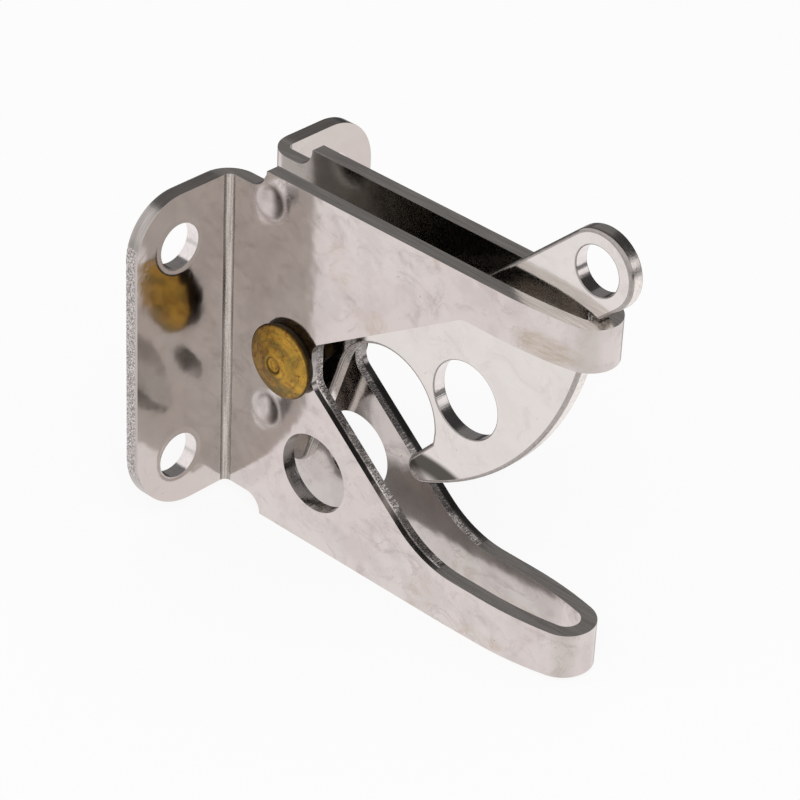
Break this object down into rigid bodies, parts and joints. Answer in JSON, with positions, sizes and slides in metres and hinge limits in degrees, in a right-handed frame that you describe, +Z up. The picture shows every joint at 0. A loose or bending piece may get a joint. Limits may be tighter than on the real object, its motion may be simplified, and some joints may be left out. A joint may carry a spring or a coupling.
{
  "type": "gate latch",
  "caption": "Gravity gate latch: a folded sheet bracket with an open jaw, and a riveted swinging plate with a lifting tab and a capture eye.",
  "frame": {"origin": "centre of the four screw holes, on the back plane of the flanges, in the middle of the slot between the cheeks", "axes": "+Z up, -Y out from the gate post towards the striker bar, +X across the bracket, away from the turned rivet head"},
  "size_m": [0.051, 0.0786, 0.0775],
  "materials": {
    "bracket_steel": "polished sheet with sheared edges",
    "plate_steel": "polished sheet with sheared edges",
    "rivet_brass": "turned, dull, lightly tarnished"
  },
  "bodies": {
    "post_side": {"bracket": "bracket_steel", "pivot_rivet": "rivet_brass"},
    "plate": {"latch_plate": "plate_steel"}
  },
  "joints": [
    {"name": "latch_lift", "type": "hinge", "parent": "post_side", "child": "plate", "pos_m": [0, -0.0158, 0.0007], "axis": [-1, 0, 0], "range_deg": [0, 62]}
  ]
}
